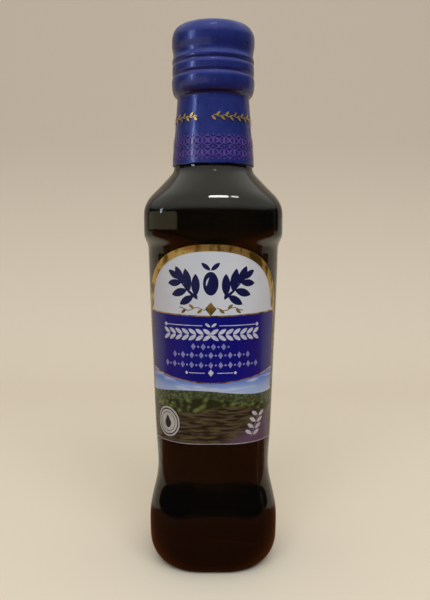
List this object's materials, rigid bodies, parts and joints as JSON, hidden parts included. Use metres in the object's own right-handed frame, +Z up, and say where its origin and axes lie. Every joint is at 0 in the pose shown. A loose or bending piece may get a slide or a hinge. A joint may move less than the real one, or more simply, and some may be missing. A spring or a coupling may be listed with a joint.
{
  "type": "olive oil bottle",
  "caption": "Small dark glass olive oil bottle with a waisted body, round shoulder, filmed screw cap and arch-topped front label, filled and shut.",
  "frame": {"origin": "middle of the foot, on the surface the bottle stands on", "axes": "+Z up along the bottle's axis, -Y towards the front label, +X to the right of someone who reads the label"},
  "size_m": [0.0534, 0.0534, 0.214],
  "materials": {
    "dark_glass": "dark olive green glass, polished",
    "oil": "clear green-gold oil",
    "cap_metal": "blue lacquered, satin",
    "film": "blue shrink film, glossy",
    "label_paper": "coated printed label, gloss, with gold foil"
  },
  "bodies": {
    "root": {"bottle": "dark_glass", "oil": "oil", "cap": "cap_metal", "capsule": "film", "label": "label_paper"}
  },
  "joints": []
}
